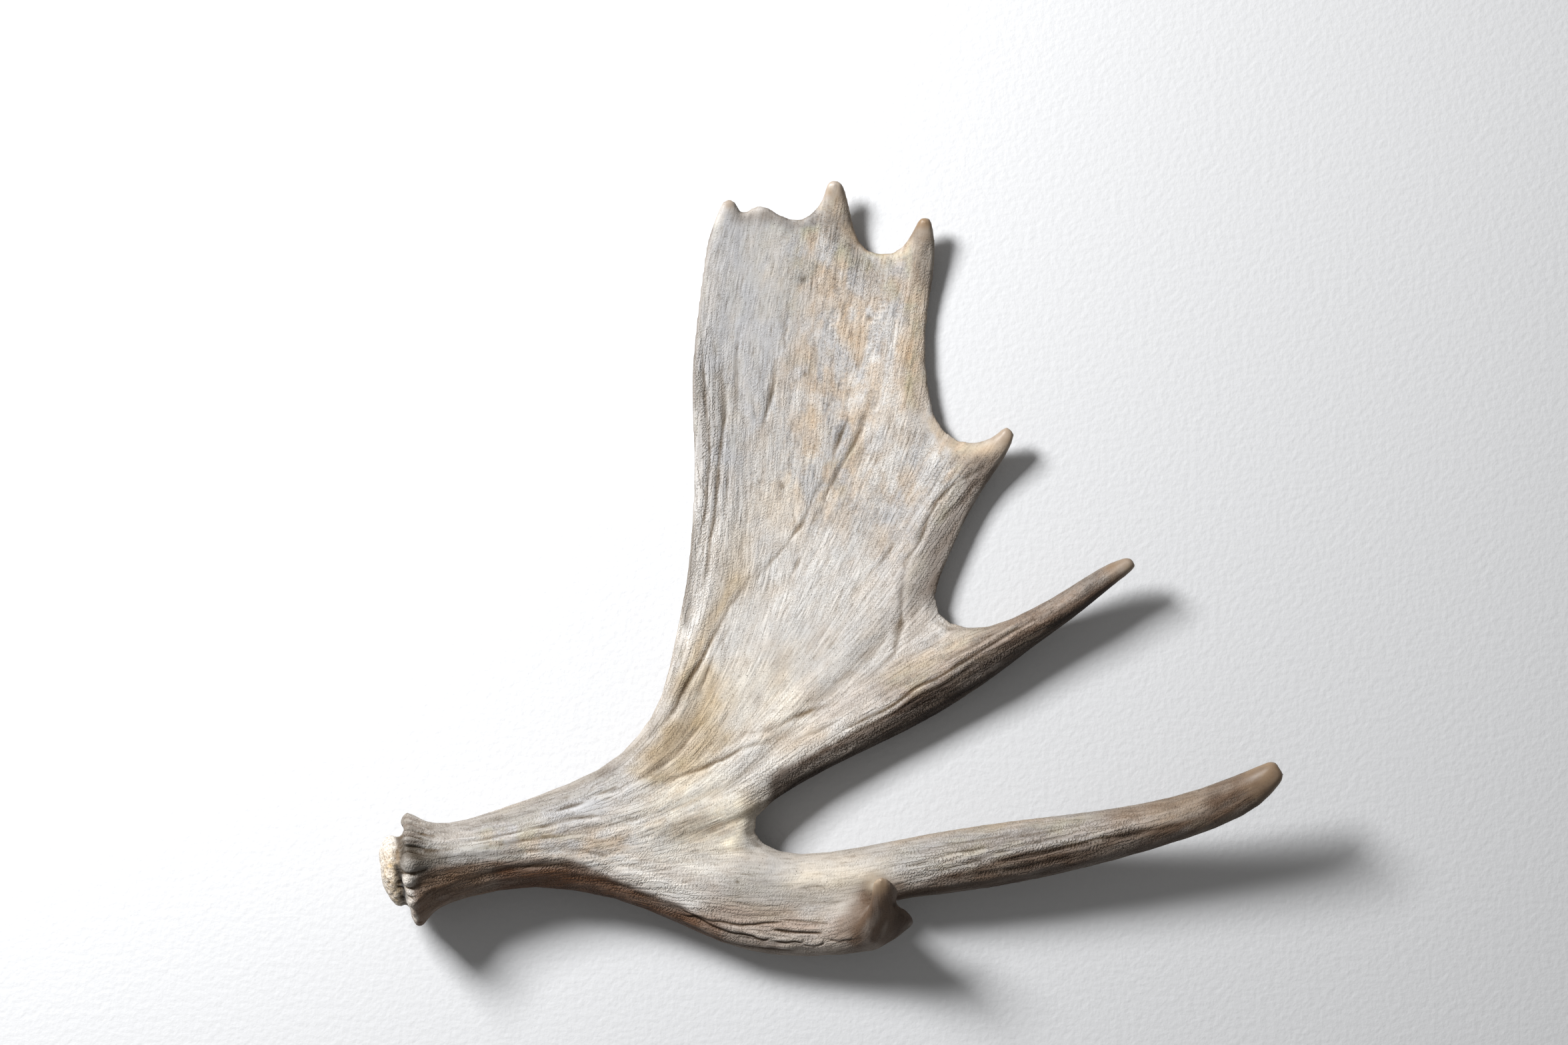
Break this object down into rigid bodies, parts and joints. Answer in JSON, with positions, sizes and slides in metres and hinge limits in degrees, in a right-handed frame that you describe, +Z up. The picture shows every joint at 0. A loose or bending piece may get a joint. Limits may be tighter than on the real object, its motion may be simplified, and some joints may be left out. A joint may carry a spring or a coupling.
{
  "type": "moose antler",
  "caption": "Shed moose antler: a beam with a knobbly burr that forks into a broad palm with points and a brow branch with a long tine and a short prong.",
  "frame": {"origin": "on the floor, under the centre of the bounding box, with the antler lying on its back", "axes": "+X from the burr towards the tip of the long brow tine, +Y from the brow branch towards the crown of the palm, +Z up, out of the palm's hollow face"},
  "size_m": [0.669, 0.5802, 0.0937],
  "materials": {
    "antler_bone": "matte, weathered bone with polished points"
  },
  "bodies": {
    "root": {"beam": "antler_bone", "brow_branch": "antler_bone", "palm": "antler_bone", "palm_tine": "antler_bone"}
  },
  "joints": []
}
